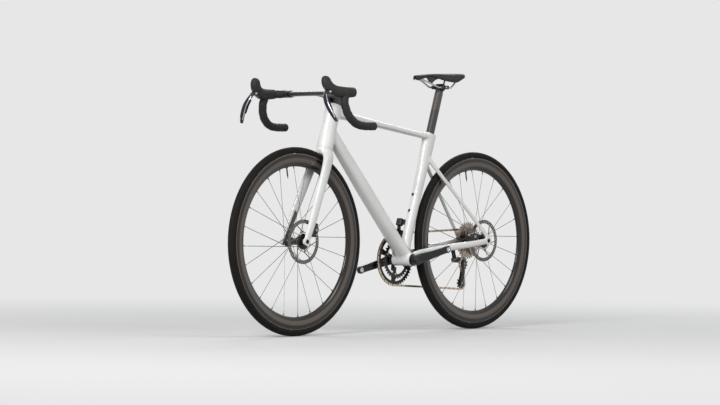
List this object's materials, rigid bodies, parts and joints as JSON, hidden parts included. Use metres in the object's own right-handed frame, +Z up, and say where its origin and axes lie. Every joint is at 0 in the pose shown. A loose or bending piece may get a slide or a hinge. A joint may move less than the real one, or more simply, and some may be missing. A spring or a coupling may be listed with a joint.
{
  "type": "road bike",
  "caption": "Drop-bar road bike with a smooth moulded frame, hydraulic disc brakes, deep-section wheels, a double crankset and a wide-range cassette, without pedals",
  "frame": {"origin": "on the ground, midway between the two axles, in the bike's middle plane", "axes": "+X forward, +Y to the rider's left, +Z up"},
  "size_m": [1.6762, 0.4776, 0.9765],
  "materials": {
    "black_metal": "black anodised",
    "black_tape": "perforated black cushioned tape",
    "silver": "bright polished alloy",
    "steel": "brushed steel",
    "white_paint": "gloss white paint over moulded carbon",
    "dark_carbon": "dark clear-coated carbon",
    "tyre": "matt black tread rubber",
    "black_rubber": "matt black rubber",
    "saddle_cover": "matt black synthetic cover"
  },
  "bodies": {
    "frame_body": {"frame": "white_paint", "derailleur_hanger": "black_metal", "seatpost_wedge": "black_metal", "headset_upper_bearing": "steel", "headset_lower_bearing": "steel", "bb_cup_left": "black_metal", "bb_cup_right": "black_metal", "rear_thru_axle": "black_metal", "rear_caliper": "black_metal", "front_derailleur": "black_metal", "front_derailleur_cage": "silver", "chain": "steel", "derailleur_mount_knuckle": "black_metal", "derailleur_outer_link": "black_metal", "derailleur_inner_link": "black_metal", "derailleur_cage_knuckle": "black_metal", "derailleur_cage": "black_metal"},
    "steering": {"fork": "white_paint", "headset_cover": "black_metal", "stem_cap": "black_metal", "handlebar": "dark_carbon", "front_thru_axle": "black_metal", "front_caliper": "black_metal", "bar_tape_left": "black_tape", "bar_tape_right": "black_tape", "bar_plug_left": "black_metal", "bar_plug_right": "black_metal", "lever_hood_left": "black_rubber", "lever_hood_right": "black_rubber"},
    "front_wheel": {"front_tyre": "tyre", "front_rim": "dark_carbon", "front_valve": "black_metal", "front_hub": "black_metal", "front_rotor": "steel"},
    "rear_wheel": {"rear_tyre": "tyre", "rear_rim": "dark_carbon", "rear_valve": "black_metal", "rear_hub": "black_metal", "freehub_sleeve": "black_metal", "rear_rotor": "steel"},
    "cassette_body": {"cassette": "steel"},
    "crankset": {"crank_spindle": "steel", "crank_left": "black_metal", "crank_right": "black_metal", "chainring_outer": "black_metal", "chainring_inner": "black_metal"},
    "guide_pulley_body": {"guide_pulley": "black_metal"},
    "tension_pulley_body": {"tension_pulley": "black_metal"},
    "seatpost_body": {"seatpost": "dark_carbon"},
    "saddle_clamp_body": {"saddle_clamp": "black_metal"},
    "saddle_body": {"saddle": "saddle_cover", "saddle_rails": "steel"},
    "front_pad_outer_body": {"front_pad_outer": "black_metal"},
    "front_pad_inner_body": {"front_pad_inner": "black_metal"},
    "rear_pad_outer_body": {"rear_pad_outer": "black_metal"},
    "rear_pad_inner_body": {"rear_pad_inner": "black_metal"},
    "left_brake_lever": {"brake_lever_left": "silver"},
    "right_brake_lever": {"brake_lever_right": "silver"},
    "left_shift_paddle": {"shift_paddle_left": "black_metal"},
    "right_shift_paddle": {"shift_paddle_right": "black_metal"}
  },
  "joints": [
    {"name": "steering_turn", "type": "hinge", "parent": "frame_body", "child": "steering", "pos_m": [0.34981, 0, 0.67733], "axis": [-0.2924, 0, 0.9563], "range_deg": [-60, 60]},
    {"name": "front_wheel_spin", "type": "hinge", "parent": "steering", "child": "front_wheel", "pos_m": [0.5, 0, 0.34], "axis": [0, 1, 0], "continuous": true},
    {"name": "rear_wheel_spin", "type": "hinge", "parent": "frame_body", "child": "rear_wheel", "pos_m": [-0.5, 0, 0.34], "axis": [0, 1, 0], "continuous": true},
    {"name": "crank_spin", "type": "hinge", "parent": "frame_body", "child": "crankset", "pos_m": [-0.09602, 0, 0.27], "axis": [0, 1, 0], "continuous": true},
    {"name": "cassette_spin", "type": "hinge", "parent": "frame_body", "child": "cassette_body", "pos_m": [-0.5, 0, 0.34], "axis": [0, 1, 0], "continuous": true},
    {"name": "guide_pulley_spin", "type": "hinge", "parent": "frame_body", "child": "guide_pulley_body", "pos_m": [-0.497, 0, 0.25], "axis": [0, 1, 0], "continuous": true},
    {"name": "tension_pulley_spin", "type": "hinge", "parent": "frame_body", "child": "tension_pulley_body", "pos_m": [-0.48333, 0, 0.17473], "axis": [0, 1, 0], "continuous": true},
    {"name": "seatpost_height", "type": "slide", "parent": "frame_body", "child": "seatpost_body", "axis": [-0.309, 0, 0.9511], "range_m": [-0.06, 0.04]},
    {"name": "saddle_tilt", "type": "hinge", "parent": "seatpost_body", "child": "saddle_clamp_body", "pos_m": [-0.2957, 0, 0.92147], "axis": [0, 1, 0], "range_deg": [-8, 8]},
    {"name": "saddle_setback", "type": "slide", "parent": "saddle_clamp_body", "child": "saddle_body", "axis": [1, 0, 0], "range_m": [-0.01, 0.01]},
    {"name": "brake_lever_left_pull", "type": "hinge", "parent": "steering", "child": "left_brake_lever", "pos_m": [0.53462, 0.1815, 0.874], "axis": [0, 1, 0], "range_deg": [0, 14], "stiffness_Nm_per_rad": 1.5},
    {"name": "shift_paddle_left_push", "type": "hinge", "parent": "left_brake_lever", "child": "left_shift_paddle", "pos_m": [0.54312, 0.1875, 0.852], "axis": [-1, 0, 0], "range_deg": [0, 12], "stiffness_Nm_per_rad": 0.2},
    {"name": "brake_lever_right_pull", "type": "hinge", "parent": "steering", "child": "right_brake_lever", "pos_m": [0.53462, -0.1815, 0.874], "axis": [0, 1, 0], "range_deg": [0, 14], "stiffness_Nm_per_rad": 1.5},
    {"name": "shift_paddle_right_push", "type": "hinge", "parent": "right_brake_lever", "child": "right_shift_paddle", "pos_m": [0.54312, -0.1875, 0.852], "axis": [1, 0, 0], "range_deg": [0, 12], "stiffness_Nm_per_rad": 0.2},
    {"name": "front_pad_outer_squeeze", "type": "slide", "parent": "steering", "child": "front_pad_outer_body", "axis": [0, -1, 0], "range_m": [0, 0.0004]},
    {"name": "front_pad_inner_squeeze", "type": "slide", "parent": "steering", "child": "front_pad_inner_body", "axis": [0, 1, 0], "range_m": [0, 0.0004]},
    {"name": "rear_pad_outer_squeeze", "type": "slide", "parent": "frame_body", "child": "rear_pad_outer_body", "axis": [0, -1, 0], "range_m": [0, 0.0004]},
    {"name": "rear_pad_inner_squeeze", "type": "slide", "parent": "frame_body", "child": "rear_pad_inner_body", "axis": [0, 1, 0], "range_m": [0, 0.0004]}
  ],
  "couplings": [
    {"joint": "cassette_spin", "follows": "crank_spin", "ratio": 2.2857},
    {"joint": "guide_pulley_spin", "follows": "crank_spin", "ratio": -4.3636},
    {"joint": "tension_pulley_spin", "follows": "crank_spin", "ratio": 4.3636},
    {"joint": "front_pad_outer_squeeze", "follows": "brake_lever_left_pull", "m_per_rad": 0.0016354},
    {"joint": "front_pad_inner_squeeze", "follows": "brake_lever_left_pull", "m_per_rad": 0.0016354},
    {"joint": "rear_pad_outer_squeeze", "follows": "brake_lever_right_pull", "m_per_rad": 0.0016354},
    {"joint": "rear_pad_inner_squeeze", "follows": "brake_lever_right_pull", "m_per_rad": 0.0016354}
  ]
}
